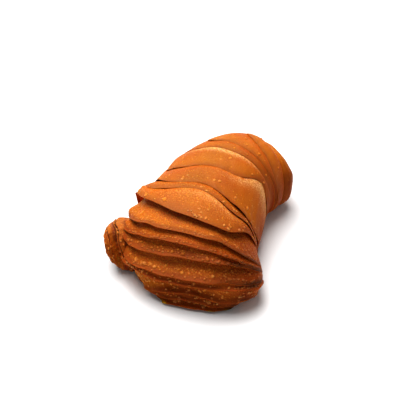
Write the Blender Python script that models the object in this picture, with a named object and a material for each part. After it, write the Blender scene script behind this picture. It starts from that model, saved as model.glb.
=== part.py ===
"""A sfogliatella: one baked roll of thin pastry leaves, curled up on a table.

Metres, +Z up.  The long axis runs along Y, the near end is at -Y, and the tip of the roll
sticks out of the left flank, at -X.  Every leaf ends in a free edge, its lip, which faces the
near end and stands proud of the leaf that follows.
"""
import math
import random

import bmesh
import bpy
from mathutils import Vector

MM = 0.001

# Driving dimensions, in millimetres.
# Three rails carry the lips from the far end to the near end.  Each key is the number of the leaf
# whose lip passes there, and the rail runs smoothly between its points.
CROWN_RAIL = {
    0: (26, 54, 38),
    0.5: (22, 52, 44),
    1: (17, 48, 47),
    2: (10, 38, 50),
    3: (5, 28, 50),
    5: (-1, 0, 50),
    6: (0, -9, 50),
    7: (0, -23, 48),
    8: (2, -34, 44),
    10: (4, -43, 34),
    11: (5, -49, 25),
    13: (5, -49, 14),
    15: (7, -50, 2),
}
LEFT_RAIL = {
    0: (18, 65, 19),
    1: (-1, 59, 20),
    2: (-15, 49, 20),
    3: (-26, 36, 21),
    5: (-33, 11, 21),
    7: (-42, 4, 24),
    8: (-42, -9, 22),
    10: (-42, -23, 16),
    12: (-37, -32, 9),
    15: (-17, -41, 0),
}
RIGHT_RAIL = {
    0: (40, 42, 20),
    2: (37, 32, 19),
    3: (34, 30, 19),
    4: (33, 22, 18),
    5: (33, 3, 14),
    7: (34, -7, 13),
    9: (39, -19, 12),
    11: (41, -26, 11),
    13: (39, -34, 6),
    15: (29, -37, 0),
}
FAR_POLE = (36, 57, 19)
CAP_RISES = (75, 50, 25, 8)  # degrees above the far leaf's lip at which its dome has rings

# How far each lip drifts from its even place, in leaf widths towards the near end, at these
# angles round the section: right flank near 0 degrees, crown at 90, left flank near 180.
DRIFT_ANGLES = (10, 35, 60, 90, 120, 145, 170)
LIP_DRIFT = [
    (0.5, 0.2, 0.1, 0.0, 0.0, 0.0, 0.0),
    (1.0, 0.8, 0.45, 0.05, -0.4, -0.6, -0.6),
    (0.5, 0.45, 0.2, 0.05, 0.3, -0.3, -0.9),
    (0.45, 0.2, -0.15, -0.35, -0.1, -0.1, -0.6),
    (0.0, -0.45, -0.05, -0.1, 0.2, 0.1, -0.9),
    (0.9, 0.4, 0.25, -0.05, 0.7, 0.2, -0.9),
    (0.7, 0.0, -0.05, -0.45, 0.3, 0.3, -0.7),
    (-0.1, -0.5, 0.05, 0.1, 0.1, 0.0, -0.35),
    (0.9, 0.4, -0.05, 0.0, 0.15, 0.1, 0.1),
    (0.4, 0.35, -0.05, -0.1, 0.05, 0.1, 0.0),
    (-0.4, -0.35, -0.3, -0.05, 0.1, 0.05, 0.0),
    (-0.2, -0.1, -0.1, 0.05, 0.05, -0.05, 0.0),
    (-0.8, -0.75, -0.5, -0.25, -0.35, -0.7, -0.7),
    (-0.2, 0.35, 0.7, 0.15, 0.65, 0.9, 1.0),
    (0.7, 0.3, 0.4, 0.05, 0.3, 0.15, 0.5),
    (0.0, 0.0, 0.0, 0.0, 0.0, 0.0, 0.0),
]
LEAF_COUNT = len(LIP_DRIFT)
LEAST_LEAF_WIDTH = 0.12     # the narrowest a leaf gets, in even leaf widths

SHOULDER = 2.3              # exponent of the cross-section: 2 is an ellipse, more is squarer
SKIRT_DEPTH = 4.0           # how far the cross-section runs on below the table before it is cut
LIP_STEP_SHARE = 0.42       # step behind a lip, as a share of the leaf's width there
LIP_STEP_FAR = 1.5          # the deepest step among the far leaves
LIP_STEP_NEAR = 3.6         # the deepest step among the near leaves
NEAR_LEAVES = (4, 8)        # the step deepens between these leaves
LIP_STEP_LEAST = 0.5
FLATTENED_STEP = 0.15       # share of the step that is left where the leaves lie on the table
MIDDLE_SINK = 0.55          # how deep the middle of a leaf lies, as a share of the step
SHOULDER_SINK = 0.05        # the same for the rounded shoulder of the lip
EDGE_SINK = 0.25            # the same for the lip's free edge
LIP_ROUND = 0.12            # the lip's rounded edge, as a share of the leaf's width
RIPPLE_ALONG = 0.07         # waviness of a lip along the roll, in leaf widths
RIPPLE_OUT = 0.55           # waviness of a lip outwards, in millimetres
POINTS_ROUND = 60

NUB_ROOT = (-33.0, -21.0, 13.0)
NUB_TIP = (-52.5, -23.0, 16.0)
NUB_HALF_DEPTH = 16.0
NUB_HALF_HEIGHT = 17.0
NUB_FULLNESS = 2.0          # how long the tip stays wide before it rounds off
NUB_LIPS = (0.30, 0.42, 0.50, 0.58, 0.78, 0.90)   # shares of the way from root to tip
NUB_STEPS = (1.1, 1.1, 1.1, 1.1, 3.0, 1.1)        # step before each, and one gap that gapes
NUB_SLANT_UP = 0.16         # how far the lips lean towards the tip at the top of the nub
NUB_SLANT_NEAR = -0.12      # the same on its near side
NUB_LIP_ROUND = 0.03        # the rounded edge of a tip leaf, as a share of the tip's length
NUB_POINTS_ROUND = 36

BOX_CENTRE = (-4.636, 7.634)  # the middle of the footprint's box, which becomes the origin
SEED = 17


def clear_scene():
    for obj in list(bpy.data.objects):
        bpy.data.objects.remove(obj, do_unlink=True)


def curve_through(keyed, at):
    """The value at a key, on a cubic curve through the keyed values, which are vectors or numbers."""
    keys = sorted(keyed)
    at = min(max(at, keys[0]), keys[-1])
    index = max(i for i in range(len(keys) - 1) if keys[i] <= at)
    values = [keyed[key] for key in keys]

    def slope(i):
        if i == 0:
            return (values[1] - values[0]) / (keys[1] - keys[0])
        if i == len(keys) - 1:
            return (values[-1] - values[-2]) / (keys[-1] - keys[-2])
        before = keys[i] - keys[i - 1]
        after = keys[i + 1] - keys[i]
        rise = (values[i] - values[i - 1]) * (after / before)
        return (rise + (values[i + 1] - values[i]) * (before / after)) / (before + after)

    span = keys[index + 1] - keys[index]
    t = (at - keys[index]) / span
    return (
        values[index] * (2 * t ** 3 - 3 * t ** 2 + 1)
        + slope(index) * (span * (t ** 3 - 2 * t ** 2 + t))
        + values[index + 1] * (3 * t ** 2 - 2 * t ** 3)
        + slope(index + 1) * (span * (t ** 3 - t ** 2))
    )


def rail_point(rail, leaf):
    """The rail's point at a leaf number."""
    return curve_through({key: Vector(point) for key, point in rail.items()}, leaf)


def rounded(value):
    """A cosine or sine, squared off to the shoulder exponent."""
    return math.copysign(abs(value) ** (2 / SHOULDER), value)


def section_centre(leaf):
    return (rail_point(LEFT_RAIL, leaf) + rail_point(RIGHT_RAIL, leaf)) / 2


def section_point(leaf, angle):
    """The smooth body under the leaves: right flank at 0 degrees, crown at 90, left at 180."""
    left = rail_point(LEFT_RAIL, leaf)
    right = rail_point(RIGHT_RAIL, leaf)
    centre = (left + right) / 2
    across = rounded(math.cos(angle))
    rise = rounded(math.sin(angle))
    if rise >= 0:
        upright = rail_point(CROWN_RAIL, leaf) - centre
    else:
        upright = Vector((0, 0, centre.z + SKIRT_DEPTH))
    return centre + (right - left) / 2 * across + upright * rise


def lip_ripple(rng):
    """A seeded wave round a lip, between about -1 and 1."""
    parts = [(count, rng.uniform(0, math.tau), rng.uniform(0.2, 0.5)) for count in (3, 5, 8)]
    return lambda angle: sum(size * math.sin(count * angle + phase) for count, phase, size in parts)


def lip_drift(leaf, angle):
    """The drift of a lip at an angle round the section, in leaf widths."""
    return curve_through(dict(zip(DRIFT_ANGLES, LIP_DRIFT[leaf])), math.degrees(angle))


def ring_angles(count):
    """Angles right round, from straight down past the right flank, the crown and the left."""
    return [math.tau * i / count - math.pi / 2 for i in range(count)]


def leaf_rings():
    """Rings of points from the far end to the near end, four for each leaf."""
    rng = random.Random(SEED)
    angles = ring_angles(POINTS_ROUND)
    rings = far_cap_rings(angles)
    lip_before = [lip_drift(0, a) for a in angles]
    for leaf in range(1, LEAF_COUNT):
        along = lip_ripple(rng)
        out = lip_ripple(rng)
        lip = [max(leaf + lip_drift(leaf, a) + RIPPLE_ALONG * along(a), before + LEAST_LEAF_WIDTH)
               for a, before in zip(angles, lip_before)]
        nearness = (leaf - NEAR_LEAVES[0]) / (NEAR_LEAVES[1] - NEAR_LEAVES[0])
        deepest = LIP_STEP_FAR + (LIP_STEP_NEAR - LIP_STEP_FAR) * min(max(nearness, 0), 1)
        root, middle, shoulder, edge = [], [], [], []
        for angle, start, end in zip(angles, lip_before, lip):
            start_point = section_point(start, angle)
            end_point = section_point(end, angle)
            width = (end_point - start_point).length
            step = min(max(LIP_STEP_SHARE * width, LIP_STEP_LEAST), deepest)
            step *= max(1 + min(rounded(math.sin(angle)), 0), FLATTENED_STEP)
            wave = RIPPLE_OUT * out(angle) * step / deepest
            root.append(inwards(start + LIP_ROUND * (end - start) / 2, angle, step))
            middle.append(inwards(start + 0.5 * (end - start), angle, MIDDLE_SINK * step))
            shoulder.append(inwards(end - LIP_ROUND * (end - start), angle, SHOULDER_SINK * step - wave))
            edge.append(inwards(end, angle, EDGE_SINK * step - wave))
        rings += [root, middle, shoulder, edge]
        lip_before = lip
    below = Vector((0, 0, -SKIRT_DEPTH))
    rings.append([point + below for point in rings[-1]])
    return rings


def inwards(leaf, angle, depth):
    """A point on the smooth body, moved in towards the middle of its section by a depth."""
    point = section_point(leaf, angle)
    inward = section_centre(leaf) - point
    return point + inward.normalized() * depth


def far_cap_rings(angles):
    """The far end: leaf 0 closes over a low dome from its own lip to the far pole."""
    rings = []
    for rise in CAP_RISES:
        turn = math.radians(rise)
        ring = []
        for angle in angles:
            lip = lip_drift(0, angle)
            centre = section_centre(lip)
            out = (section_point(lip, angle) - centre) * math.cos(turn)
            ring.append(centre + out + (Vector(FAR_POLE) - centre) * math.sin(turn))
        rings.append(ring)
    rings.append([section_point(lip_drift(0, angle), angle) for angle in angles])
    return rings


def nub_rings():
    """The tip of the roll: short leaves stacked like the rings of a bud, their lips outwards."""
    root = Vector(NUB_ROOT)
    axis = Vector(NUB_TIP) - root
    near_way = Vector((0, 0, 1)).cross(axis).normalized()
    rings = []

    def ring(share, step):
        points = []
        for angle in ring_angles(NUB_POINTS_ROUND):
            slant = NUB_SLANT_UP * math.sin(angle) + NUB_SLANT_NEAR * math.cos(angle)
            place = share + slant * 4 * share * (1 - share)
            size = max(1 - place ** NUB_FULLNESS, 0) ** 0.5
            point = root + axis * place
            point += near_way * math.cos(angle) * max(NUB_HALF_DEPTH * size - step, 0.5)
            point += Vector((0, 0, 1)) * math.sin(angle) * max(NUB_HALF_HEIGHT * size - step, 0.5)
            points.append(point)
        return points

    rings.append(ring(0.0, 0.0))
    start = 0.0
    for lip, step in zip(NUB_LIPS, NUB_STEPS):
        rings.append(ring(start + NUB_LIP_ROUND / 3, step))
        rings.append(ring(lip - NUB_LIP_ROUND, 0.0))
        rings.append(ring(lip, EDGE_SINK * NUB_STEPS[0]))
        start = lip
    rings.append(ring(start + NUB_LIP_ROUND / 3, NUB_STEPS[-1]))
    rings.append(ring(1 - NUB_LIP_ROUND, NUB_STEPS[-1]))
    return rings


def loft(name, rings):
    """A closed mesh object through rings of equal length, with a fan of faces at each end."""
    mesh = bpy.data.meshes.new(name)
    bm = bmesh.new()
    loops = [[bm.verts.new(point * MM) for point in ring] for ring in rings]
    count = len(loops[0])
    for loop, following in zip(loops, loops[1:]):
        for i in range(count):
            j = (i + 1) % count
            bm.faces.new((loop[i], loop[j], following[j], following[i]))
    for loop in (loops[0], loops[-1]):
        middle = sum((v.co for v in loop), Vector()) / count
        pole = bm.verts.new(middle)
        for i in range(count):
            bm.faces.new((loop[i], loop[(i + 1) % count], pole))
    bmesh.ops.recalc_face_normals(bm, faces=bm.faces)
    bm.to_mesh(mesh)
    bm.free()
    obj = bpy.data.objects.new(name, mesh)
    bpy.context.scene.collection.objects.link(obj)
    return obj


def fuse(body, other):
    """Join two closed objects into one solid, and remove the second."""
    union = body.modifiers.new("fuse", "BOOLEAN")
    union.operation = "UNION"
    union.solver = "EXACT"
    union.object = other
    depsgraph = bpy.context.evaluated_depsgraph_get()
    joined = bpy.data.meshes.new_from_object(body.evaluated_get(depsgraph))
    body.modifiers.clear()
    body.data = joined
    bpy.data.objects.remove(other, do_unlink=True)


def set_on_table(body):
    """Cut the underside flat at the table, and put the origin under the middle of the box."""
    bm = bmesh.new()
    bm.from_mesh(body.data)
    everything = bm.verts[:] + bm.edges[:] + bm.faces[:]
    cut = bmesh.ops.bisect_plane(bm, geom=everything, plane_co=(0, 0, 0), plane_no=(0, 0, 1),
                                 clear_inner=True)
    rim = [item for item in cut["geom_cut"] if isinstance(item, bmesh.types.BMEdge)]
    bmesh.ops.holes_fill(bm, edges=rim)
    bmesh.ops.translate(bm, verts=bm.verts, vec=(-BOX_CENTRE[0] * MM, -BOX_CENTRE[1] * MM, 0))
    bmesh.ops.recalc_face_normals(bm, faces=bm.faces)
    bm.to_mesh(body.data)
    bm.free()


def crust_material():
    material = bpy.data.materials.new("baked_crust")
    material.use_nodes = True
    shader = material.node_tree.nodes["Principled BSDF"]
    shader.inputs["Base Color"].default_value = (0.42, 0.14, 0.03, 1)
    shader.inputs["Roughness"].default_value = 0.5
    shader.inputs["Metallic"].default_value = 0.0
    return material


def build_pastry():
    pastry = loft("pastry", leaf_rings())
    fuse(pastry, loft("nub", nub_rings()))
    set_on_table(pastry)
    pastry.data.materials.clear()
    pastry.data.materials.append(crust_material())
    pastry.data.shade_smooth()
    pastry.data.set_sharp_from_angle(angle=math.radians(35))
    return pastry


clear_scene()
build_pastry()
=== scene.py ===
"""The looks of a sfogliatella, a baked roll of thin pastry leaves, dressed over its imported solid.

Metres, +Z up, the near end of the roll at -Y and the tip of the roll at -X.  The pieces are
worked out in millimetres and scaled as their points are set.
"""
import math
import random

import bpy
import numpy as np
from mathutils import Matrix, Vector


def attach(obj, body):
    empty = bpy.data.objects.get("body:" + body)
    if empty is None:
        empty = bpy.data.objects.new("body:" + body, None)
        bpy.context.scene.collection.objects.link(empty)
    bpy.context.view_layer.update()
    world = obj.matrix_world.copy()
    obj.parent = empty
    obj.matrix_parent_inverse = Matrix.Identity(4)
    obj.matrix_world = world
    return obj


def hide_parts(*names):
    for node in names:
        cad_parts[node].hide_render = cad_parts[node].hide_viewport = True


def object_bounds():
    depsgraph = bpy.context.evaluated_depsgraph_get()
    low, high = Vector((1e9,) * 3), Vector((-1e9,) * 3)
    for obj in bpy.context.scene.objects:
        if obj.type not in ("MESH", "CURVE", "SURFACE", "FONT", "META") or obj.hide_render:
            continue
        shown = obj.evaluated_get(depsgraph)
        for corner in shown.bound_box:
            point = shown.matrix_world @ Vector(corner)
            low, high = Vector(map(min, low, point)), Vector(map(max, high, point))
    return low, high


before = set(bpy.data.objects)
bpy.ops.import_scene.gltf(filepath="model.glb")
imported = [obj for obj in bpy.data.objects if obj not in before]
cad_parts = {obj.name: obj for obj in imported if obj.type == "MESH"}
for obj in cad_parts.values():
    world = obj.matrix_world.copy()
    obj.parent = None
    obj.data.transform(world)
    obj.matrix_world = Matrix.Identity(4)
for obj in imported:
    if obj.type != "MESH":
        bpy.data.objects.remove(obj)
cad_low, cad_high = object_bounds()

# Camera
# A long lens looks down on the near end of the roll, from a little to its right.  Its reach and
# aim are in millimetres, and the aim's place in the photo is in pixels.
MM = 0.001
CAMERA_TURN = math.radians(15)
CAMERA_DIP = math.radians(45)
CAMERA_REACH = 567.0
CAMERA_AIM = (4.636, -7.634, 20.0)
LENS = 85
SENSOR_WIDTH = 36
PHOTO_SIDE = 420
AIM_RIGHT_OF_MIDDLE = -7
AIM_BELOW_MIDDLE = 12

towards_camera = np.array([
    math.sin(CAMERA_TURN) * math.cos(CAMERA_DIP),
    -math.cos(CAMERA_TURN) * math.cos(CAMERA_DIP),
    math.sin(CAMERA_DIP),
])
camera = bpy.data.objects.new("camera", bpy.data.cameras.new("camera"))
bpy.context.scene.collection.objects.link(camera)
camera.data.lens = LENS
camera.data.sensor_width = SENSOR_WIDTH
camera.data.shift_x = -AIM_RIGHT_OF_MIDDLE / PHOTO_SIDE
camera.data.shift_y = AIM_BELOW_MIDDLE / PHOTO_SIDE
camera.location = (np.array(CAMERA_AIM) + towards_camera * CAMERA_REACH) * MM
camera.rotation_euler = (math.pi / 2 - CAMERA_DIP, 0, CAMERA_TURN)
bpy.context.scene.camera = camera

# Heart of the roll
# The imported inner turns of the same dough, seen only as the dark bottom of the grooves between
# the leaves, with painted shade for its colour.  It is one plain plump body that follows the roll
# from the far end to the near end.
# The rails give the crown and both flanks of the roll at numbered leaves, in millimetres.
BOX_CENTRE = np.array([-4.636, 7.634, 0.0])
CROWN_RAIL = {
    0: (26, 54, 38),
    0.5: (22, 52, 44),
    1: (17, 48, 47),
    2: (10, 38, 50),
    3: (5, 28, 50),
    5: (-1, 0, 50),
    6: (0, -9, 50),
    7: (0, -23, 48),
    8: (2, -34, 44),
    10: (4, -43, 34),
    11: (5, -49, 25),
    13: (5, -49, 14),
    15: (7, -50, 2),
}
LEFT_RAIL = {
    0: (18, 65, 19),
    1: (-1, 59, 20),
    2: (-15, 49, 20),
    3: (-26, 36, 21),
    5: (-33, 11, 21),
    7: (-42, 4, 24),
    8: (-42, -9, 22),
    10: (-42, -23, 16),
    12: (-37, -32, 9),
    15: (-17, -41, 0),
}
RIGHT_RAIL = {
    0: (40, 42, 20),
    2: (37, 32, 19),
    3: (34, 30, 19),
    4: (33, 22, 18),
    5: (33, 3, 14),
    7: (34, -7, 13),
    9: (39, -19, 12),
    11: (41, -26, 11),
    13: (39, -34, 6),
    15: (29, -37, 0),
}
LAST_LEAF = 15
SHOULDER = 2.3
SKIRT_DEPTH = 4.0
AXIS_LIFT = np.array([0, 0, 0.5])
BOX_MARGIN = 1.5
HEART_START = 0.3
HEART_DEPTH = 6.5
HEART_NEAR_DEPTH = 3.0
NEAR_END_START = 13.8
NEAR_END_LENGTH = 1.2
LEAST_HEART_SIZE = 0.25
HEART_COLUMNS = 160
HEART_ROWS = 80
BLUNTNESS = 14


def smooth_through(keyed, at):
    """Values at any keys, on a cubic curve through the keyed ones."""
    keys = np.array(sorted(keyed), dtype=float)
    points = np.array([keyed[key] for key in sorted(keyed)], dtype=float).reshape(len(keys), -1)
    gaps = np.diff(keys)[:, None]
    rises = np.diff(points, axis=0)
    slopes = np.empty_like(points)
    slopes[0] = rises[0] / gaps[0]
    slopes[-1] = rises[-1] / gaps[-1]
    slopes[1:-1] = rises[:-1] * gaps[1:] / gaps[:-1] + rises[1:] * gaps[:-1] / gaps[1:]
    slopes[1:-1] /= gaps[:-1] + gaps[1:]
    at = np.clip(at, keys[0], keys[-1])
    index = np.clip(np.searchsorted(keys, at, side="right") - 1, 0, len(keys) - 2)
    span = gaps[index]
    t = (at - keys[index])[..., None] / span
    return (
        points[index] * (2 * t ** 3 - 3 * t ** 2 + 1)
        + slopes[index] * span * (t ** 3 - 2 * t ** 2 + t)
        + points[index + 1] * (3 * t ** 2 - 2 * t ** 3)
        + slopes[index + 1] * span * (t ** 3 - t ** 2)
    )


def rail(keyed, leaf):
    """Points on a rail of the roll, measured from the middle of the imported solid's box."""
    return smooth_through(keyed, leaf) - BOX_CENTRE


def roll_middle(leaf):
    """Points halfway between the flanks of the roll."""
    return (rail(LEFT_RAIL, leaf) + rail(RIGHT_RAIL, leaf)) / 2


def rounded(value):
    """A cosine or sine, squared off to the roll's full shoulders."""
    return np.sign(value) * np.abs(value) ** (2 / SHOULDER)


def ramp(at, start, length):
    """0 up to the start, then rising evenly to 1 over the length."""
    return np.clip((at - start) / length, 0, 1)


def unit(vectors):
    """Vectors in the same directions, all of length 1."""
    return vectors / np.maximum(np.linalg.norm(vectors, axis=-1, keepdims=True), 1e-9)


def roll_surface(leaf, turn):
    """Points on the smooth roll and the way in from them.

    The turn goes round the roll: right flank 0, crown a quarter turn, left flank a half turn.
    """
    leaf, turn = np.broadcast_arrays(leaf, turn)
    left = rail(LEFT_RAIL, leaf)
    right = rail(RIGHT_RAIL, leaf)
    middle = (left + right) / 2
    across = rounded(np.cos(turn))[..., None]
    rise = rounded(np.sin(turn))[..., None]
    up = rail(CROWN_RAIL, leaf) - middle
    down = np.zeros_like(middle)
    down[..., 2] = middle[..., 2] + SKIRT_DEPTH
    point = middle + (right - left) / 2 * across + np.where(rise >= 0, up, down) * rise
    point[..., 2] = np.maximum(point[..., 2], 0)
    return point, unit(middle + AXIS_LIFT - point)


def keep_in_box(points):
    """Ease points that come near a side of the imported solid's box, so that they stay inside."""
    low = np.array(cad_low) / MM
    high = np.array(cad_high) / MM
    sides = ((0, 1, high[0]), (0, -1, low[0]), (1, 1, high[1]), (1, -1, low[1]), (2, 1, high[2]))
    for axis, outwards, limit in sides:
        edge = limit - outwards * BOX_MARGIN
        over = np.maximum(outwards * (points[..., axis] - edge), 0)
        eased = edge + outwards * BOX_MARGIN * (1 - np.exp(-over / BOX_MARGIN))
        points[..., axis] = np.where(over > 0, eased, points[..., axis])
    points[..., 2] = np.maximum(points[..., 2], 0)
    return points


def points_of(piece):
    """A mesh's points, as rows of x, y and z."""
    points = np.empty(len(piece.data.vertices) * 3)
    piece.data.vertices.foreach_get("co", points)
    return points.reshape(-1, 3)


def set_points(piece, points):
    """Put a mesh's points in their places, given in millimetres."""
    points = keep_in_box(np.array(points)).reshape(-1, 3) * MM
    piece.data.vertices.foreach_set("co", points.astype(np.float32).ravel())
    piece.data.update()


def round_body(name, columns, rows):
    """A new sphere with its points given as turns round it and shares of the way down it."""
    bpy.ops.object.select_all(action="DESELECT")
    bpy.ops.mesh.primitive_uv_sphere_add(segments=columns, ring_count=rows, radius=1)
    piece = bpy.context.object
    piece.name = name
    points = points_of(piece)
    turns = np.arctan2(points[:, 1], points[:, 0])
    shares = np.arccos(np.clip(points[:, 2], -1, 1)) / math.pi
    bpy.ops.object.shade_smooth()
    return piece, turns, shares


def blunt_ends(shares):
    """1 along a round body, closing to 0 in a blunt curve at both of its ends."""
    return np.sqrt(np.clip(1 - np.abs(2 * shares - 1) ** BLUNTNESS, 0, 1))


heart, heart_turns, heart_shares = round_body("heart", HEART_COLUMNS, HEART_ROWS)
# The sphere's top is the roll's near end, so that its faces keep pointing outwards.
heart_places = HEART_START + (LAST_LEAF - HEART_START) * (1 - heart_shares)
heart_skin = roll_surface(heart_places, heart_turns)[0]
heart_middle = roll_middle(heart_places) + AXIS_LIFT
heart_reach = np.linalg.norm(heart_middle - heart_skin, axis=1)
near_end = ramp(heart_places, NEAR_END_START, NEAR_END_LENGTH)
heart_sink = HEART_DEPTH + (HEART_NEAR_DEPTH - HEART_DEPTH) * near_end
heart_size = np.maximum(1 - heart_sink / heart_reach, LEAST_HEART_SIZE) * blunt_ends(heart_shares)
set_points(heart, heart_middle + (heart_skin - heart_middle) * heart_size[:, None])

# Crust
# The skin of every piece is thin baked dough, golden to rose-brown, with amber blisters.
# Each point of a piece carries marks that say how pale, toasted and grainy it is there, and
# where painted shade, a painted sheen and a painted glow of light through the dough lie on it.
MARKS = ("blister", "cream", "bloom", "grains", "root", "rim", "under", "toast")
PATCHES_PER_METRE = 45.0
MOTTLES_PER_METRE = 320.0
SPECKS_PER_METRE = 1500.0
SMALL_GRAINS = (900.0, 0.42)
LARGE_GRAINS = (500.0, 0.34)
ROSE_PATCHES = 0.7
ROOT_SHADE_STRENGTH = 0.65
RIM_STAIN = 0.85
PAINTED_GLOW_STRENGTH = 0.9
GRAIN_TINT = 0.5
BLISTER_TINT = 0.7
BLISTER_SHINE = 0.35
RELIEF_HEIGHT = 0.0003
RELIEF_STRENGTH = 0.8
GLOW_SHARE = 0.5
GLOW_DEPTH = 0.0007
GLOW_SPREAD = (1.0, 0.5, 0.12)
SHEEN = 0.08
COAT_ROUGHNESS = 0.3
COAT_BENDING = 1.3


def tone(red, green, blue):
    """A colour given as it shows on a screen, 0 to 255, in the shader's linear light."""
    linear = [((c / 255 + 0.055) / 1.055) ** 2.4 if c > 10 else c / 255 / 12.92
              for c in (red, green, blue)]
    return (*linear, 1.0)


GOLDEN = tone(184, 104, 12)
ROSE = tone(152, 76, 18)
TOAST_AND_SHADE_BROWN = tone(114, 42, 1)
DEEP_TOAST_AND_SHADE = tone(44, 14, 2)
ROOT_SHADE_BROWN = tone(172, 62, 2)
GLOW_THROUGH_GOLD = tone(198, 106, 4)
AMBER = tone(222, 142, 44)
CREAM_AND_SHEEN = tone(240, 190, 124)


class Socket:
    """A shader socket that can be used in Python expressions."""

    def __init__(self, tree, link):
        self.tree = tree
        self.link = link

    def make(self, kind, inputs, output=0, **settings):
        """A new node: its settings first, then the values or links of its sockets."""
        node = self.tree.nodes.new(kind)
        for name, value in settings.items():
            setattr(node, name, value)
        for key, value in inputs.items():
            if isinstance(value, Socket):
                self.tree.links.new(value.link, node.inputs[key])
            else:
                node.inputs[key].default_value = value
        return Socket(self.tree, node.outputs[output])

    def maths(self, operation, other, swap=False):
        """A sum, product or the like of this socket and another or a number."""
        pair = (other, self) if swap else (self, other)
        return self.make("ShaderNodeMath", {0: pair[0], 1: pair[1]}, operation=operation)

    def __add__(self, other):
        return self.maths("ADD", other)

    def __radd__(self, other):
        return self.maths("ADD", other, swap=True)

    def __sub__(self, other):
        return self.maths("SUBTRACT", other)

    def __rsub__(self, other):
        return self.maths("SUBTRACT", other, swap=True)

    def __mul__(self, other):
        return self.maths("MULTIPLY", other)

    def __truediv__(self, other):
        return self.maths("DIVIDE", other)

    def __pow__(self, other):
        return self.maths("POWER", other)

    def between(self, low, high):
        """0 below the low value, 1 above the high one, eased in between."""
        return self.make("ShaderNodeMapRange", {"Value": self, "From Min": low, "From Max": high},
                         interpolation_type="SMOOTHSTEP")

    def mix(self, first, second):
        """This socket's value fades the first colour into the second."""
        return self.make("ShaderNodeMix", {0: self, 6: first, 7: second}, output=2, data_type="RGBA")


def crust_finish():
    """Baked dough: golden to rose-brown by place, amber blisters, a fine grain and a soft glow."""
    material = bpy.data.materials.new("baked_crust_looks")
    material.use_nodes = True
    tree = material.node_tree
    shader = tree.nodes["Principled BSDF"]
    place = Socket(tree, tree.nodes.new("ShaderNodeTexCoord").outputs["Object"])

    def mark(name):
        return place.make("ShaderNodeAttribute", {}, output=2, attribute_name=name)

    def noise(scale, detail, roughness):
        return place.make("ShaderNodeTexNoise", {"Vector": place, "Scale": scale, "Detail": detail,
                                                 "Roughness": roughness})

    def grains(scale, size, amount):
        """Small domes in some of the cells of a scatter, more of them where the amount is high."""
        cell = place.make("ShaderNodeTexVoronoi", {"Vector": place, "Scale": scale})
        chance = Socket(tree, cell.link.node.outputs["Color"])
        chance = place.make("ShaderNodeSeparateColor", {0: chance})
        dome = (1.0 - (cell / size) ** 2).maths("MAXIMUM", 0.0)
        return dome * (amount - chance).between(0.0, 0.08)

    patches = noise(PATCHES_PER_METRE, 3.0, 0.5)
    mottle = noise(MOTTLES_PER_METRE, 3.0, 0.6)
    fine = noise(SPECKS_PER_METRE, 2.0, 0.6)
    speck = fine.between(0.42, 0.62)
    root = mark("root")
    toast = mark("toast")
    amount = mark("grains")
    small = grains(*SMALL_GRAINS, amount)
    large = grains(*LARGE_GRAINS, amount * 0.5)
    domes = mark("blister").maths("MAXIMUM", small.maths("MAXIMUM", large))

    colour = (patches.between(0.35, 0.7) * ROSE_PATCHES).mix(GOLDEN, ROSE)
    # Toasted brown, together with painted shade: the side turned from the light and the deep grooves
    # are darkened here.
    colour = (toast + mottle * 0.4 - 0.2).between(0.0, 1.0).mix(colour, TOAST_AND_SHADE_BROWN)
    # Painted shade: the roots of the leaves, deep in the grooves under the lips, turn deep red-brown.
    colour = (root ** 1.6 * ROOT_SHADE_STRENGTH).mix(colour, ROOT_SHADE_BROWN)
    colour = (amount * root * speck * GRAIN_TINT).mix(colour, AMBER)
    colour = (mark("rim") * RIM_STAIN).mix(colour, ROSE)
    # Painted sheen: the top of the roll is paler where the light falls.
    colour = (mark("bloom") * (0.25 + speck * 0.2)).mix(colour, CREAM_AND_SHEEN)
    # Painted glow: golden light shining through the thin dough, at the leaf roots, the lips' edges and
    # backs, and the open side.
    colour = (mark("under") * PAINTED_GLOW_STRENGTH).mix(colour, GLOW_THROUGH_GOLD)
    tint = (BLISTER_TINT - toast * 0.6).maths("MAXIMUM", 0.1)
    colour = (domes.between(0.1, 0.9) * tint).mix(colour, AMBER)
    cream = mark("cream") * (0.3 + speck * 0.7) * mottle.between(0.2, 0.5)
    colour = cream.mix(colour, CREAM_AND_SHEEN)
    # Darkest brown where toasting and painted shade together pass 1, deep in the grooves and in the
    # tip's gap.
    colour = (toast - 1.0).between(0.0, 1.0).mix(colour, DEEP_TOAST_AND_SHADE)

    relief = domes * 1.0 + mottle * 0.5 + fine * (0.12 + root * 0.5)
    bump = place.make("ShaderNodeBump", {"Height": relief, "Strength": RELIEF_STRENGTH,
                                         "Distance": RELIEF_HEIGHT})
    tree.links.new(colour.link, shader.inputs["Base Color"])
    tree.links.new((0.5 + mottle * 0.15).link, shader.inputs["Roughness"])
    tree.links.new((domes * BLISTER_SHINE).link, shader.inputs["Coat Weight"])
    tree.links.new(bump.link, shader.inputs["Normal"])
    shader.inputs["Subsurface Weight"].default_value = GLOW_SHARE
    shader.inputs["Subsurface Radius"].default_value = GLOW_SPREAD
    shader.inputs["Subsurface Scale"].default_value = GLOW_DEPTH
    shader.inputs["Specular IOR Level"].default_value = SHEEN
    shader.inputs["Coat Roughness"].default_value = COAT_ROUGHNESS
    shader.inputs["Coat IOR"].default_value = COAT_BENDING
    return material


crust = crust_finish()


def finish_piece(piece, **marks):
    """Dress a piece of the roll, with 0 for each mark not given, and say what it stands for."""
    for name in MARKS:
        values = np.broadcast_to(marks.get(name, 0.0), len(piece.data.vertices))
        mark = piece.data.attributes.new(name, "FLOAT", "POINT")
        mark.data.foreach_set("value", np.array(values, dtype=np.float32))
    piece.data.materials.clear()
    piece.data.materials.append(crust)
    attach(piece, "root")
    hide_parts("pastry")


# Painted shade: the heart is coloured as the shaded bottom of the grooves.
finish_piece(heart, root=1.0, toast=0.8)

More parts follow.
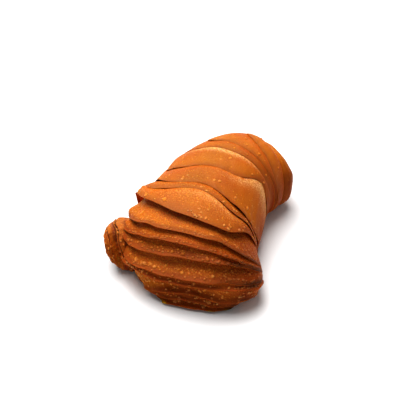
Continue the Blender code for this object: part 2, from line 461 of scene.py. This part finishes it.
# Leaves
# Fifteen thin sheets of dough lie over the heart like shingles, from the far end to the near
# end.  Each is rooted under the lip of the one before, and flares out to a free, wavy lip.
# Turns are in degrees: a ramp's start and length, or a hump's middle and half of its width.
COLUMNS = 480
FINE_TURNS = (-30, 205)
COARSE_SHARE = 0.3
OUTER_ROWS = [-0.3, -0.15, 0.0] + list(np.linspace(0.035, 1.0, 30))
LIP_ARC = (45, 90, 135)
INNER_ROWS = [1.0, 0.9, 0.75, 0.55, 0.35, 0.15, -0.1, -0.3]
ROWS = len(OUTER_ROWS) + len(LIP_ARC) + len(INNER_ROWS)
WELD = 0.0001
LEAST_LEAF_WIDTH = 0.12
LIP_WAVE = 0.05
RUFFLE_COUNTS = (9, 14, 19)
FOLD_COUNTS = ((9, 3), (17, 5), (31, 4))
RIPPLE_HEIGHT = 0.4
ROOT_SLOPE = 3.0
LEAST_OPENING = 0.15
SHUT_RAMP = (8, 50)
TOP_HUMP = (105, 50)
LIT_RAMP = (155, 15)
SIDE_SHADE_STRENGTH = 0.7
GRAIN_EDGE = 0.15
BLISTER_RISE = 0.6
FULL_BLISTER = 0.3
DRIFT_TURNS = (10, 35, 60, 90, 120, 145, 170, 190)
LIP_DRIFT = [
    (0.5, 0.2, 0.1, 0.0, 0.0, 0.0, 0.0, 0.0),
    (1.0, 0.8, 0.45, 0.05, -0.4, -0.6, -0.6, -0.6),
    (0.5, 0.45, 0.2, 0.05, 0.3, -0.3, -0.9, -0.9),
    (0.45, 0.2, -0.15, -0.35, -0.1, -0.1, -0.6, -0.6),
    (0.0, -0.45, -0.05, -0.1, 0.2, 0.1, -0.9, -0.9),
    (0.9, 0.4, 0.25, -0.05, 0.7, 0.2, -0.9, -0.9),
    (0.7, 0.0, -0.05, -0.45, 0.3, 0.3, -0.7, -0.7),
    (-0.1, -0.5, 0.05, 0.1, 0.1, 0.0, -0.35, -0.3),
    (0.9, 0.4, -0.05, 0.0, 0.15, 0.1, 0.0, -0.2),
    (0.4, 0.35, -0.05, -0.1, 0.05, 0.1, -0.5, -0.8),
    (-0.4, -0.35, -0.3, -0.05, 0.1, 0.0, -0.9, -1.2),
    (-0.2, -0.1, -0.1, 0.05, 0.05, -0.05, -0.6, -1.4),
    (-0.8, -0.75, -0.5, -0.25, -0.35, -0.7, -0.9, -1.2),
    (-0.2, 0.35, 0.7, 0.15, 0.65, 0.9, 0.9, 0.6),
    (0.7, 0.3, 0.4, 0.05, 0.3, 0.15, 0.5, 0.5),
    (0.0, 0.0, 0.0, 0.0, 0.0, 0.0, 0.0, 0.0),
]


def keyed_round(keys, values):
    """Keyed values, and a last pair of keys so that both sides meet underneath."""
    under = (values[0] + values[-1]) / 2
    return {-90: under, **dict(zip(keys, values)), 270: under}


def spread_turns(count, fine, coarse_share):
    """Turns right round the roll, closer together where it shows."""
    steps = np.linspace(-90, 270, 3601)
    weight = np.where((steps > fine[0]) & (steps < fine[1]), 1.0, coarse_share)
    total = np.concatenate([[0], np.cumsum((weight[1:] + weight[:-1]) / 2)])
    return np.radians(np.interp(np.arange(count) / count * total[-1], total, steps))


def hump(at, middle, half):
    """A smooth hump, 1 at the middle and falling away on both sides."""
    return np.exp(-((at - middle) / half) ** 2)


def wave(rng, counts, turns):
    """A seeded wave round a lip, between about -1 and 1."""
    total = np.zeros_like(turns)
    for count in counts:
        total += rng.uniform(0.25, 0.5) * np.sin(count * turns + rng.uniform(0, math.tau))
    return total


def normals_of(grid):
    """Outward directions of a grid of points that closes on itself along its first side."""
    round_way = np.roll(grid, -1, axis=0) - np.roll(grid, 1, axis=0)
    along_way = np.gradient(grid, axis=1)
    return unit(np.cross(round_way, along_way))


class Band:
    """A band of blisters on a leaf: how many, between which shares of its width and turns."""

    def __init__(self, count, shares, turns, sizes, cream=0.0):
        self.count = count
        self.shares = shares
        self.turns = turns
        self.sizes = sizes
        self.cream = cream


def blisters_on(grid, turns, shares, bands, rng):
    """How far each point of a grid is raised by blisters, and how pale they are."""
    height = np.zeros(grid.shape[:2])
    paleness = np.zeros(grid.shape[:2])
    columns, rows = height.shape
    for band in bands:
        for _ in range(band.count):
            turn = math.radians(rng.uniform(*band.turns))
            share = rng.triangular(*band.shares)
            size = rng.triangular(band.sizes[0], band.sizes[1], band.sizes[0])
            pale = band.cream * rng.uniform(0.5, 1.2)
            column = int(np.searchsorted(turns, turn)) % columns
            row = min(int(np.searchsorted(shares, share)), rows - 2)
            corner = grid[column, row]
            beside = grid[(column + 1) % columns, row] - corner
            pitch = np.linalg.norm(beside)
            rise = np.linalg.norm(grid[column, row + 1] - corner)
            reach = int(size / max(pitch, 0.05)) + 2
            climb = int(size / max(rise, 0.05)) + 2
            near_columns = np.arange(column - reach, column + reach + 1) % columns
            near_rows = np.arange(max(row - climb, 0), min(row + climb + 1, rows - 1))
            patch = np.ix_(near_columns, near_rows)
            centre = corner + beside * rng.random()
            distance = np.linalg.norm(grid[patch] - centre, axis=-1) / size
            dome = np.clip(1 - distance ** 2, 0, 1)
            raised = dome * size * BLISTER_RISE
            taller = raised > height[patch]
            height[patch] = np.where(taller, raised, height[patch])
            paleness[patch] = np.where(taller, pale * np.minimum(dome * 2, 1), paleness[patch])
    return height, paleness


class Hoop:
    """A small circle spun round once; each leaf starts as a copy of it."""

    def __init__(self, columns, rows):
        bpy.ops.object.select_all(action="DESELECT")
        bpy.ops.mesh.primitive_circle_add(vertices=rows, radius=0.3, location=(1, 0, 0),
                                          rotation=(math.pi / 2, 0, 0))
        bpy.ops.object.transform_apply()
        self.pattern = bpy.context.object
        bpy.ops.object.mode_set(mode="EDIT")
        bpy.ops.mesh.select_all(action="SELECT")
        bpy.ops.mesh.spin(steps=columns, angle=math.tau, center=(0, 0, 0), axis=(0, 0, 1))
        bpy.ops.mesh.select_all(action="SELECT")
        bpy.ops.mesh.remove_doubles(threshold=WELD)
        bpy.ops.mesh.normals_make_consistent(inside=False)
        bpy.ops.object.mode_set(mode="OBJECT")
        bpy.ops.object.shade_smooth()
        x, y, z = points_of(self.pattern).T
        self.column = np.rint(np.arctan2(y, x) / math.tau * columns).astype(int) % columns
        self.row = np.rint(np.arctan2(z, np.hypot(x, y) - 1) / math.tau * rows).astype(int) % rows

    def copy(self, name):
        """A new piece with the hoop's faces, ready for its points to be set."""
        piece = bpy.data.objects.new(name, self.pattern.data.copy())
        bpy.context.scene.collection.objects.link(piece)
        return piece

    def discard(self):
        """Take the hoop itself away when all of its leaves are laid."""
        bpy.data.objects.remove(self.pattern, do_unlink=True)


def opening_round(turns, make):
    """How open the groove at a leaf's root is: 1 where it opens fully, 0 where it lies shut."""
    degrees = np.degrees(turns)
    opening = np.ones_like(turns)
    if make["lies"]:
        opening = np.maximum(1 + np.minimum(rounded(np.sin(turns)), 0), LEAST_OPENING)
    clear = ramp(degrees, *SHUT_RAMP)
    opening = opening * (1 - make["shut"] * (1 - clear ** 2 * (3 - 2 * clear)))
    if make["gape"]:
        middle, half, least = make["gape"]
        past = (np.abs(degrees - middle) / half) ** 4
        opening = opening * (least + (1 - least) * np.exp(-past))
    return opening


def leaf_marks(turns, outer, width, height, pale, make):
    """A leaf's marks, each with its values on the face, on the edge of the lip and on the back."""
    degrees = np.degrees(turns)[:, None]
    outer = outer[None, :]
    band = 0.0
    if make["pale"]:
        share_middle, share_half, turn_middle, turn_half, strength = make["pale"]
        band = strength * hump(outer, share_middle, share_half)
        band = band * hump(degrees, turn_middle, turn_half)
    rim = hump((1 - outer) * width[:, None], 0, make["rim"])
    # Painted shade: the side turned from the light and the groove near the root are browned darker.
    toast = make["toast"] + SIDE_SHADE_STRENGTH * hump(degrees, *make["shaded_side"])
    toast = toast + make["groove_shade"] * np.clip(1.2 - outer / 0.6, 0, 1) + make["lip_toast"] * rim
    # Past the lit ramp's start, on the open side, light shines through: less painted shade and more
    # painted glow there.
    lit = ramp(degrees, *LIT_RAMP)
    root = np.clip(1 - outer, 0, 1)
    near, far = make["grainy"]
    grainy = np.clip((outer - near + GRAIN_EDGE) / GRAIN_EDGE, 0, 1)
    grainy = grainy * np.clip((far + GRAIN_EDGE - outer) / GRAIN_EDGE, 0, 1)
    painted_glow = make["painted_glow"] * np.clip(1 - outer / make["painted_glow_width"], 0, 1)
    return {
        "blister": (np.clip(height / FULL_BLISTER, 0, 1), 0, 0),
        "cream": (np.clip(pale + band, 0, 1), 0, 0),
        "bloom": (make["bloom"] * hump(degrees, *TOP_HUMP), make["bloom"], 0),
        "grains": (grainy * (1 - 0.8 * rim) * make["grains"], 0, 0),
        # The root mark is painted shade: full deep in the groove, less on the open side where light
        # shines through, half on the back.
        "root": (root * (1 - 0.8 * lit), 0, 0.5),
        "rim": (rim, 0.3, 0.3),
        # The under mark is a painted glow of light through the thin dough.
        "under": (np.maximum(painted_glow, 0.7 * lit * root), 0.3, 0.3 + 0.7 * make["painted_glow"]),
        "toast": (toast, make["toast"] + make["lip_toast"] * 0.3, make["toast"] * 0.5),
    }


def lay_leaf(name, hoop, surface, start, end, turns, make, rng):
    """One leaf, from its root under the lip at start to its own lip at end.

    make says how it is shaped and browned, in millimetres, in degrees round the roll and in
    shares of the leaf's width, from 0 at its root to 1 at its lip:
    share, least, deepest: the groove's depth, as a share of the leaf's width, and its limits
    flare, belly, thick: how late the leaf rises to its lip, its bulge and its thickness
    wave, counts, ripple: the waves in its lip, how many go round, and the folds on its face
    lies, shut, gape: whether it lies close below, at the right flank and away from an open gap
    toast, shaded_side, groove_shade: how toasted it is all over, and its painted shade near one turn,
    on the side turned from the light, and deep in its groove
    toast, browned, char: how browned it is all over, near one turn and deep in its groove
    rim, lip_toast: the rosy band's width along the lip, and how toasted it is
    pale, bloom: a cream band by share and turn, and a painted sheen that makes the top of the leaf
    paler where the light falls
    grains, grainy: how many small grains its crust has, and between which shares
    painted_glow, painted_glow_width: a painted golden glow of light through the thin dough at the root,
    its strength and its width
    """
    outer = np.array(OUTER_ROWS)
    width = np.linalg.norm(surface(end, turns)[0] - surface(start, turns)[0], axis=-1)
    opening = opening_round(turns, make)
    depth = np.clip(make["share"] * width, make["least"], make["deepest"]) * opening
    swell = make["wave"] * wave(rng, make["counts"], turns) * opening * np.clip(width / 6, 0.2, 1)
    belly = make["belly"] * opening[:, None]
    belly_width = np.clip(width / 6, 0, 1)[:, None]
    folds = [(count, along, rng.uniform(0.5, 1.0), rng.uniform(0, math.tau))
             for count, along in FOLD_COUNTS]
    ripple_size = RIPPLE_HEIGHT * make["ripple"] * np.clip(width / 8, 0.1, 1)[:, None]

    def sink(share):
        """How deep the leaf's face lies under the smooth roll, at shares of its width."""
        inside = np.clip(share, 0, 1)
        profile = depth[:, None] * (1 - inside ** make["flare"])
        hidden = np.maximum(-share, 0) * ROOT_SLOPE
        bulge = belly * np.sin(math.pi * inside ** 0.6) * belly_width
        total = profile + hidden - bulge - swell[:, None] * inside ** 2
        for count, along, strength, shift in folds:
            total = total - ripple_size * inside * strength * np.sin(
                count * turns[:, None] + 2 * along * inside + shift)
        for turn, half_turn, at, half_share, out in make["lobes"]:
            round_way = hump(np.degrees(turns), turn, half_turn)[:, None]
            total = total - out * round_way * hump(inside, at, half_share)
        return total

    def sheet(share, extra):
        """The grid of points at shares of the leaf's width, sunk by an extra depth."""
        share = np.broadcast_to(share, (len(turns), len(share)))
        place = start[:, None] + share * (end - start)[:, None]
        point, inward = surface(place, turns[:, None])
        return point + inward * (sink(share) + extra)[..., None]

    face = sheet(outer, 0.0)
    height, pale = blisters_on(face, turns, outer, make["blisters"], rng)
    face = face + normals_of(face) * height[..., None]
    edge = face[:, -1]
    back = sheet(np.array(INNER_ROWS), make["thick"])
    back_edge = back[:, 0]
    ahead = unit(edge - face[:, -2]) * make["thick"] / 2
    arc = [(edge + back_edge) / 2 + (edge - back_edge) / 2 * math.cos(math.radians(a))
           + ahead * math.sin(math.radians(a)) for a in LIP_ARC]
    points = np.concatenate([face, np.stack(arc, axis=1), back], axis=1)
    piece = hoop.copy(name)
    set_points(piece, points[hoop.column, hoop.row])

    def on_points(face_values, edge_value, back_value):
        """A mark's values on the face, the edge and the back, as one for each point."""
        full = np.empty(points.shape[:2])
        full[:, :len(outer)] = face_values
        full[:, len(outer):-len(INNER_ROWS)] = edge_value
        full[:, -len(INNER_ROWS):] = back_value
        return full[hoop.column, hoop.row]

    marks = leaf_marks(turns, outer, width, height, pale, make)
    finish_piece(piece, **{mark: on_points(*values) for mark, values in marks.items()})


FAR = dict(share=0.3, least=0.2, deepest=0.3, flare=0.7, belly=0.1, thick=0.22,
           wave=0.3, counts=(3, 5, 8), ripple=0.25, ruffle=0.0, lies=True, shut=0.0, gape=None,
           lobes=(), toast=0.05, shaded_side=(-10, 40), groove_shade=0.0, rim=2.4, lip_toast=0.1, pale=None,
           bloom=0.32, grains=0.12, grainy=(0.1, 0.9), painted_glow=0.7, painted_glow_width=0.15)
WIDE = dict(FAR, deepest=0.5, flare=0.75, belly=0.8, wave=0.5, ripple=0.35, toast=0.0,
            grains=0.25, grainy=(0.0, 0.8))
NARROW = dict(FAR, deepest=1.8, flare=1.0, belly=0.0, thick=0.3, wave=0.7, ripple=0.3,
              ruffle=0.01, shut=0.5, gape=(38, 34, 0.35), toast=0.0, shaded_side=(30, 35),
              grains=0.8, grainy=(0.0, 0.6), painted_glow=0.8, painted_glow_width=0.35)
NEAR = dict(FAR, share=0.6, deepest=5.5, flare=1.7, belly=0.0, thick=0.42, wave=1.0,
            counts=(4, 7, 11), ripple=0.3, ruffle=0.03, shut=0.9, toast=0.08, shaded_side=(30, 45),
            lip_toast=0.95, bloom=0.08, grains=0.9, grainy=(0.1, 1.0), painted_glow=0.0)
LOW = dict(NEAR, deepest=6.0, flare=2.6, wave=1.2, shut=0.8, toast=0.0, shaded_side=(30, 15),
           groove_shade=0.2, grains=0.7, bloom=0.0)
MEDIUM = (0.6, 1.0)
LARGE = (1.0, 1.4)
LEAVES = [
    dict(FAR, blisters=[Band(3, (0.1, 0.9, 0.5), (30, 110), MEDIUM)]),
    dict(FAR, blisters=[Band(4, (0.1, 0.9, 0.5), (30, 110), MEDIUM)]),
    dict(FAR, blisters=[Band(4, (0.1, 0.9, 0.5), (30, 110), MEDIUM)]),
    dict(WIDE, pale=(0.1, 0.14, 88, 38, 1.0),
         blisters=[Band(6, (0.3, 0.9, 0.6), (30, 140), MEDIUM, 0.2),
                   Band(1, (0.4, 0.5, 0.45), (80, 82), LARGE, 0.2)]),
    dict(WIDE, pale=(0.12, 0.16, 35, 32, 1.0),
         blisters=[Band(8, (0.3, 0.9, 0.6), (30, 140), MEDIUM, 0.3),
                   Band(1, (0.5, 0.6, 0.55), (76, 78), LARGE, 0.2)]),
    dict(NARROW, lobes=((166, 16, 0.4, 0.6, 2.6),),
         blisters=[Band(10, (0.3, 0.9, 0.6), (20, 90), MEDIUM, 0.4)]),
    dict(NARROW, deepest=1.5, belly=0.6, grains=0.9, pale=(0.15, 0.2, 78, 28, 0.5),
         lobes=((168, 16, 0.25, 0.4, 2.6), (172, 8, 1.0, 0.12, 1.0)),
         blisters=[Band(30, (0.5, 0.95, 0.85), (20, 170), MEDIUM, 0.3),
                   Band(3, (0.6, 0.8, 0.7), (110, 150), LARGE)]),
    dict(NEAR, bloom=0.25, lobes=((166, 14, 0.75, 0.22, 2.2), (176, 14, 1.05, 0.14, -1.6)),
         blisters=[Band(50, (0.4, 0.95, 0.8), (20, 150), MEDIUM, 0.1)]),
    dict(NEAR, lobes=((166, 18, 0.5, 0.3, 2.6), (176, 14, 1.05, 0.2, -0.8)),
         blisters=[Band(50, (0.4, 0.95, 0.85), (30, 150), MEDIUM, 0.1),
                   Band(4, (0.7, 0.9, 0.8), (60, 120), LARGE)]),
    dict(NEAR, lobes=((166, 18, 0.7, 0.4, 1.8),),
         blisters=[Band(50, (0.4, 0.95, 0.85), (40, 150), MEDIUM, 0.1),
                   Band(4, (0.7, 0.9, 0.8), (60, 120), LARGE)]),
    dict(NEAR, lobes=((166, 18, 0.7, 0.4, 1.8),),
         blisters=[Band(60, (0.3, 0.95, 0.8), (20, 150), MEDIUM, 0.1),
                   Band(5, (0.5, 0.9, 0.7), (60, 140), LARGE, 0.3)]),
    dict(LOW, lobes=((8, 12, 0.15, 0.15, -1.0), (10, 14, 1.0, 0.35, 1.4), (158, 14, 0.7, 0.4, 1.4)),
         blisters=[Band(34, (0.3, 0.95, 0.6), (20, 150), MEDIUM, 0.2),
                   Band(16, (0.1, 0.95, 0.5), (125, 165), MEDIUM, 0.4)]),
    dict(LOW, lobes=((12, 16, 0.15, 0.3, 1.4), (158, 14, 0.3, 0.4, 1.0)),
         blisters=[Band(34, (0.2, 0.95, 0.6), (10, 150), MEDIUM, 0.3),
                   Band(12, (0.1, 0.95, 0.5), (125, 165), MEDIUM, 0.4)]),
    dict(LOW, lobes=((150, 18, 0.6, 0.5, 1.0),),
         blisters=[Band(24, (0.2, 0.95, 0.6), (10, 170), MEDIUM, 0.3)]),
    dict(LOW, share=0.9, deepest=7.0, flare=3.5, groove_shade=1.0, lobes=((150, 22, 1.0, 0.6, -1.4),),
         blisters=[Band(12, (0.2, 0.8, 0.5), (60, 130), LARGE, 0.3)]),
]

leaf_turns = spread_turns(COLUMNS, FINE_TURNS, COARSE_SHARE)
leaf_rng = random.Random(41)


def lip_places(number):
    """Where a leaf's lip lies along the roll, all the way round it, in leaves."""
    drift = smooth_through(keyed_round(DRIFT_TURNS, LIP_DRIFT[number]), np.degrees(leaf_turns))
    return number + drift[..., 0]


leaf_hoop = Hoop(COLUMNS, ROWS)
lip_before = lip_places(0)
for number, make in enumerate(LEAVES, start=1):
    lip = lip_places(number) + LIP_WAVE * wave(leaf_rng, make["counts"], leaf_turns)
    lip = lip + make["ruffle"] * wave(leaf_rng, RUFFLE_COUNTS, leaf_turns)
    lip = np.maximum(lip, lip_before + LEAST_LEAF_WIDTH)
    lay_leaf(f"leaf_{number:02d}", leaf_hoop, roll_surface, lip_before, lip, leaf_turns, make, leaf_rng)
    lip_before = lip
leaf_hoop.discard()

# Far end
# The first sheet of dough closes over the far end of the roll in a low dome, with two low folds
# in it, and its lip lies flat on the leaf that follows.
FAR_POLE = np.array([36, 57, 19]) - BOX_CENTRE
CAP_COLUMNS = 320
CAP_ROWS = 120
CAP_SKIN = 0.9
CAP_BACK = 0.25
CAP_FOLDS = ((0.42, 0.3), (0.6, 0.3))
FOLD_WAVE = 0.02
FOLD_FADE = 0.07
CAP_SHADED_SIDE = (-5, 45)
CAP_PAINTED_SHEEN = 0.28
cap, cap_turns, cap_shares = round_body("far_cap", CAP_COLUMNS, CAP_ROWS)
cap_degrees = (np.degrees(cap_turns) + 90) % 360 - 90
cap_lip = smooth_through(keyed_round(DRIFT_TURNS, LIP_DRIFT[0]), cap_degrees)[..., 0]
cap_edge, cap_inward = roll_surface(cap_lip, cap_turns)
cap_middle = roll_middle(cap_lip)
dome_turn = np.clip((cap_shares - CAP_BACK) / (1 - CAP_BACK), 0, 1) * math.pi / 2
dome = cap_middle + (cap_edge - cap_middle) * np.cos(dome_turn)[:, None]
dome = dome + (FAR_POLE - cap_middle) * np.sin(dome_turn)[:, None]
behind = np.clip(cap_shares / CAP_BACK, 0, 1)
back = cap_middle + (cap_edge + cap_inward * CAP_SKIN - cap_middle) * behind[:, None]
dome = np.where((cap_shares < CAP_BACK)[:, None], back, dome)
fold_shade = np.zeros(len(cap_turns))
for fold, depth in CAP_FOLDS:
    ahead = fold + FOLD_WAVE * np.sin(2 * cap_turns + 9 * fold) - cap_shares
    below = np.where(ahead > 0, np.exp(-np.maximum(ahead, 0) / FOLD_FADE), 0.0)
    reach = np.maximum(np.linalg.norm(cap_middle - dome, axis=1), 0.01)
    dome = dome + (cap_middle - dome) * (below * depth / reach)[:, None]
    fold_shade = np.maximum(fold_shade, below)
set_points(cap, dome)
# Painted sheen on the top of the cap, where the light falls.
cap_bloom = CAP_PAINTED_SHEEN * hump(cap_degrees, *TOP_HUMP)
# Painted shade: the cap's side turned from the light and its folds are darker.
cap_toast = 0.1 + 0.5 * hump(cap_degrees, *CAP_SHADED_SIDE) + 0.15 * fold_shade
finish_piece(cap, bloom=cap_bloom, grains=0.1, root=fold_shade * 0.4, toast=cap_toast)

# Tip of the roll
# The small end of the dough cone sticks out of the left flank.  Its leaves are shorter and lie
# closer, their lips slant down towards the near end, and one gap between them gapes open.
TIP_ROOT = np.array([-33.0, -21.0, 13.0]) - BOX_CENTRE
TIP_AXIS = np.array([-19.5, -2.0, 3.0])
TIP_HALF_DEPTH = 16.0
TIP_HALF_HEIGHT = 17.0
TIP_FULLNESS = 2.0
LEAST_TIP_SIZE = 0.0004
WAIST = 0.1
WAIST_ABOVE = 0.12
WAIST_LENGTH = 0.4
TIP_TURNS = (-80, 190)
TIP_COLUMNS = 260
TIP_START = 0.02
TIP_LIMIT = 0.985
TIP_LIP_WAVE = 0.01
TIP_LIP_COUNTS = (3, 5, 7)
LEAST_TIP_LEAF = 0.02
TIP_KEYS = (-60, -30, 0, 20, 45, 70, 95, 130)
TIP_LIPS = [
    (0.05, 0.05, 0.06, 0.20, 0.36, 0.44, 0.60, 0.62),
    (0.09, 0.09, 0.12, 0.28, 0.43, 0.52, 0.67, 0.68),
    (0.30, 0.44, 0.52, 0.57, 0.68, 0.80, 0.86, 0.86),
    (0.40, 0.54, 0.61, 0.66, 0.76, 0.86, 0.91, 0.91),
    (0.52, 0.65, 0.71, 0.75, 0.84, 0.92, 0.95, 0.95),
    (0.66, 0.78, 0.82, 0.85, 0.91, 0.965, 0.975, 0.975),
]
TIP = dict(FAR, share=1.2, least=1.1, deepest=2.2, flare=1.2, belly=0.0, thick=0.5, wave=0.9,
           counts=(2, 5, 9), ripple=0.6, lies=False, toast=0.0, shaded_side=(-60, 30), groove_shade=3.0,
           rim=0.4, lip_toast=0.0, bloom=0.4, grains=0.4, grainy=(0.1, 1.0), painted_glow=0.0,
           blisters=[Band(6, (0.3, 0.95, 0.6), (-40, 100), MEDIUM, 0.3)])
GAPING = dict(TIP, share=1.5, deepest=7.0, flare=3.0, gape=(15, 45, 0.06), groove_shade=1.6,
              blisters=[Band(7, (0.1, 0.7, 0.3), (-10, 50), MEDIUM, 1.0)])
TIP_LEAVES = [TIP, TIP, GAPING, TIP, TIP, TIP]
TIP_HEART_COLUMNS = 120
TIP_HEART_ROWS = 60
TIP_HEART_LENGTH = 0.93
TIP_HEART_DEPTH = 2.4
GAP_DEPTH = 5.0
GAP_PLACE = 0.8
GAP_EDGE = 0.1
LEAST_TIP_HEART = 0.3


def tip_surface(share, turn):
    """Points on the smooth tip and the way in: near side 0, top a quarter turn, far side a half."""
    share, turn = np.broadcast_arrays(share, turn)
    size = np.sqrt(np.clip(1 - np.clip(share, 0, 1) ** TIP_FULLNESS, LEAST_TIP_SIZE, 1))[..., None]
    above = np.clip(np.sin(turn) * 1.5 + 0.2, 0, 1)
    waist = (WAIST + WAIST_ABOVE * above) * np.clip(1 - share / WAIST_LENGTH, 0, 1) ** 2
    size = size * (1 - waist)[..., None]
    upwards = np.array([0, 0, 1])
    nearwards = unit(np.cross(upwards, TIP_AXIS))
    middle = TIP_ROOT + TIP_AXIS * share[..., None]
    point = middle + nearwards * np.cos(turn)[..., None] * TIP_HALF_DEPTH * size
    point = point + upwards * np.sin(turn)[..., None] * TIP_HALF_HEIGHT * size
    point[..., 2] = np.maximum(point[..., 2], 0)
    return point, unit(middle + AXIS_LIFT - point)


tip_turns = spread_turns(TIP_COLUMNS, TIP_TURNS, COARSE_SHARE)
tip_rng = random.Random(23)
tip_hoop = Hoop(TIP_COLUMNS, ROWS)
tip_before = np.full(TIP_COLUMNS, TIP_START)
for number, (make, shares) in enumerate(zip(TIP_LEAVES, TIP_LIPS), start=1):
    lip = smooth_through(keyed_round(TIP_KEYS, shares), np.degrees(tip_turns))[..., 0]
    lip = lip + TIP_LIP_WAVE * wave(tip_rng, TIP_LIP_COUNTS, tip_turns)
    lip = np.clip(np.maximum(lip, tip_before + LEAST_TIP_LEAF), 0, TIP_LIMIT)
    lay_leaf(f"tip_leaf_{number}", tip_hoop, tip_surface, tip_before, lip, tip_turns, make, tip_rng)
    tip_before = lip
tip_hoop.discard()

tip, tip_round, tip_shares = round_body("tip_heart", TIP_HEART_COLUMNS, TIP_HEART_ROWS)
tip_place = 1 - tip_shares
tip_middle = TIP_ROOT + TIP_AXIS * tip_place[:, None] * TIP_HEART_LENGTH
tip_away = tip_surface(tip_place, tip_round)[0] - tip_middle
tip_reach = np.maximum(np.linalg.norm(tip_away, axis=1), 0.1)
in_gap = np.clip((GAP_PLACE - tip_place) / GAP_EDGE, 0, 1)
tip_sink = TIP_HEART_DEPTH + GAP_DEPTH * in_gap
tip_size = np.maximum(1 - tip_sink / tip_reach, LEAST_TIP_HEART) * blunt_ends(tip_shares)
set_points(tip, tip_middle + tip_away * tip_size[:, None])
# Painted shade: the tip's heart is browned dark, darkest where the gap gapes open.
finish_piece(tip, root=0.5, toast=1.3 + 0.4 * in_gap)

# Crumbs
# A few pale crumbs of broken crust lie on the crown of the roll, at the lip of the seventh leaf.
# Each has its place along the roll in leaves, its turn in degrees and its radius.
CRUMB_PLACES = (
    (6.86, 91.0, 0.5), (6.93, 90.0, 0.6), (6.98, 88.5, 0.75), (7.0, 87.0, 0.6), (6.9, 92.5, 0.45),
    (6.96, 89.5, 0.45),
)
CRUMB_CUTS = 5
CRUMB_LIFT = 0.4
crumb_rng = random.Random(7)
for number, (leaf, degrees, size) in enumerate(CRUMB_PLACES, start=1):
    bpy.ops.object.select_all(action="DESELECT")
    bpy.ops.mesh.primitive_ico_sphere_add(subdivisions=3, radius=1)
    crumb = bpy.context.object
    crumb.name = f"crumb_{number}"
    spot, crumb_inward = roll_surface(np.array([leaf]), np.array([math.radians(degrees)]))
    points = points_of(crumb)
    for _ in range(CRUMB_CUTS):
        way = unit(np.array([crumb_rng.uniform(-1, 1) for _ in range(3)]))
        reach = crumb_rng.uniform(0.4, 0.8)
        points = points - way * np.maximum(points @ way - reach, 0)[:, None]
    set_points(crumb, spot - crumb_inward * size * CRUMB_LIFT + points * size)
    bpy.ops.object.shade_smooth()
    finish_piece(crumb, cream=1.0)

# Floor and light
# A plain white table, a wide soft sun high behind the roll and a little to its left, and an
# even white surround.  The sun's place only gives its direction.
FLOOR_SIDE = 6
FLOOR_DROP = 0.0001
FLOOR_WHITE = 0.8
FLOOR_ROUGHNESS = 0.9
FLOOR_SHEEN = 0.1
SUN_STRENGTH = 4.7
SUN_WIDTH = math.radians(48)
SUN_PLACE = (-0.24, 0.2, 0.9)
SURROUND_STRENGTH = 0.4
VIEW_GAMMA = 0.8


def table_finish():
    """Even white, with hardly any shine."""
    material = bpy.data.materials.new("white_table")
    material.use_nodes = True
    shader = material.node_tree.nodes["Principled BSDF"]
    shader.inputs["Base Color"].default_value = (FLOOR_WHITE, FLOOR_WHITE, FLOOR_WHITE, 1)
    shader.inputs["Roughness"].default_value = FLOOR_ROUGHNESS
    shader.inputs["Specular IOR Level"].default_value = FLOOR_SHEEN
    return material


bpy.ops.object.select_all(action="DESELECT")
bpy.ops.mesh.primitive_plane_add(size=FLOOR_SIDE, location=(0, 0, -FLOOR_DROP))
floor = bpy.context.object
floor.name = "floor"
floor.data.materials.append(table_finish())

sun = bpy.data.objects.new("key_light", bpy.data.lights.new("key_light", "SUN"))
sun.data.energy = SUN_STRENGTH
sun.data.angle = SUN_WIDTH
sun.location = SUN_PLACE
aim = np.array(sun.location)
sun.rotation_euler = (math.atan2(math.hypot(aim[0], aim[1]), aim[2]), 0, math.atan2(aim[0], -aim[1]))
bpy.context.scene.collection.objects.link(sun)

surround = bpy.data.worlds.new("surround")
surround.use_nodes = True
surround.node_tree.nodes["Background"].inputs["Color"].default_value = (1, 1, 1, 1)
surround.node_tree.nodes["Background"].inputs["Strength"].default_value = SURROUND_STRENGTH
bpy.context.scene.world = surround
bpy.context.scene.view_settings.view_transform = "Standard"
bpy.context.scene.view_settings.gamma = VIEW_GAMMA
